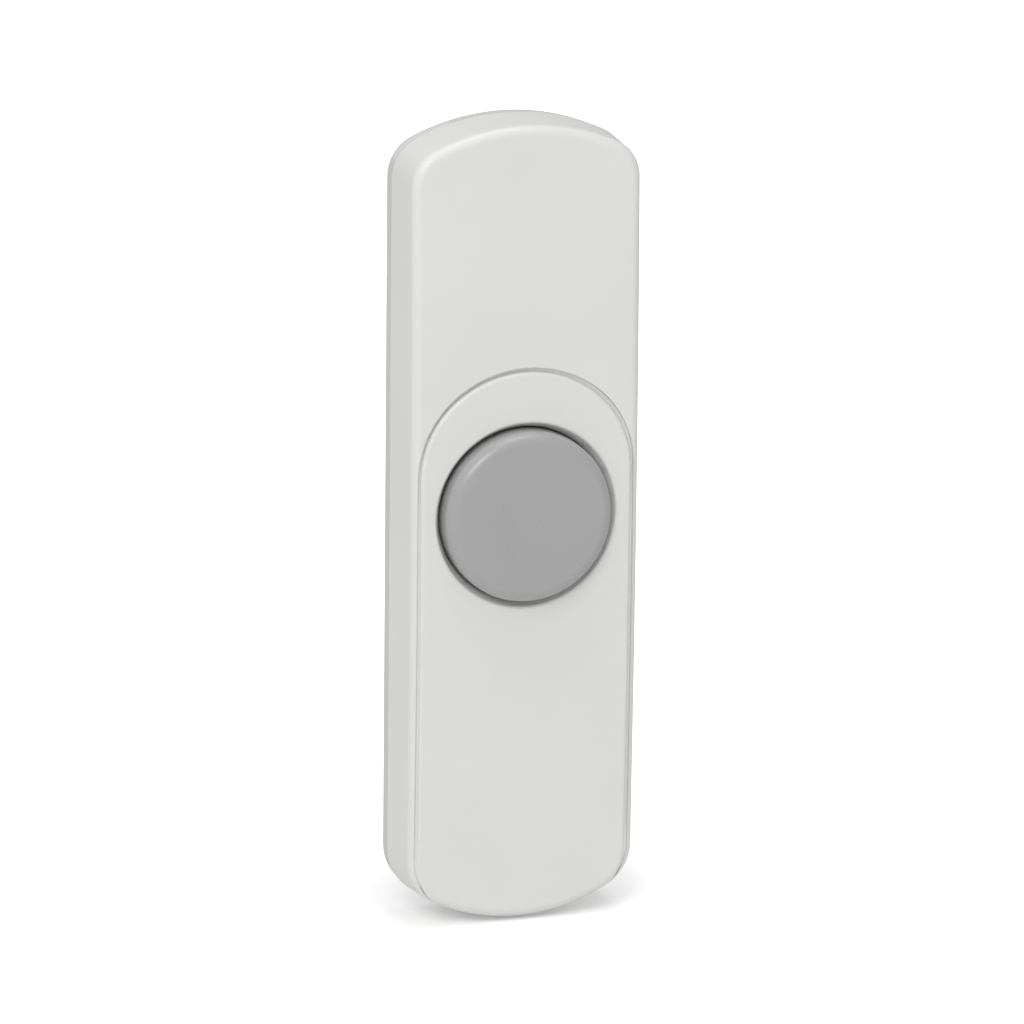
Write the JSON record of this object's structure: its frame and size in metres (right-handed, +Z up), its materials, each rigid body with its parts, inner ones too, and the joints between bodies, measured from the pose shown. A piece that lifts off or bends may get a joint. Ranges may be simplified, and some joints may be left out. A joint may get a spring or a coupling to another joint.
{
  "type": "doorbell",
  "caption": "Slim upright wall-mounted doorbell push with arched ends, a plain crowned front, an inset arched lower panel and a round sprung button.",
  "frame": {"origin": "middle of the flat rear face that lies on the wall, half way up and half way across", "axes": "+X to the right seen from the front, +Z up along the case, +Y into the wall, so the front and the button look along -Y"},
  "size_m": [0.0288, 0.0119, 0.0962],
  "materials": {
    "case_white": "moulded ABS with an even satin sheen",
    "plate_white": "moulded ABS, plain tool finish",
    "button_grey": "moulded grey ABS, fine satin finish",
    "spring_steel": "bright drawn and pressed steel",
    "board_green": "glass-filled laminate under green resist",
    "black_plastic": "moulded black plastic",
    "tinned_metal": "tinned or nickelled sheet metal",
    "cell_steel": "nickelled steel can",
    "contact_brass": "bright brass",
    "coil_copper": "bare copper wire",
    "capacitor_tan": "ceramic with tinned ends",
    "resistor_black": "glazed ceramic"
  },
  "bodies": {
    "housing": {"back_plate": "plate_white", "front_case": "case_white", "button_panel": "case_white", "button_spring": "spring_steel", "circuit_board": "board_green", "board_screws": "spring_steel", "switch_body": "black_plastic", "switch_cover": "tinned_metal", "switch_terminals": "tinned_metal", "coin_cell": "cell_steel", "cell_strap": "spring_steel", "cell_leaf": "contact_brass", "resonator_can": "tinned_metal", "encoder_chip": "black_plastic", "encoder_leads": "tinned_metal", "tuning_coil": "coil_copper", "chip_capacitors": "capacitor_tan", "chip_resistors": "resistor_black", "jumper_header": "black_plastic", "jumper_pins": "contact_brass", "jumper_caps": "black_plastic"},
    "button": {"push_button": "button_grey"},
    "stem": {"switch_stem": "black_plastic"}
  },
  "joints": [
    {"name": "button_press", "type": "slide", "parent": "housing", "child": "button", "axis": [0, 1, 0], "range_m": [0, 0.001], "stiffness_N_per_m": 600, "springref_m": -0.002, "deforming": ["button_spring"]},
    {"name": "switch_stem_press", "type": "slide", "parent": "housing", "child": "stem", "axis": [0, 1, 0], "range_m": [0, 0.0003]}
  ],
  "couplings": [
    {"joint": "switch_stem_press", "follows": "button_press", "ratio": 0.3}
  ]
}
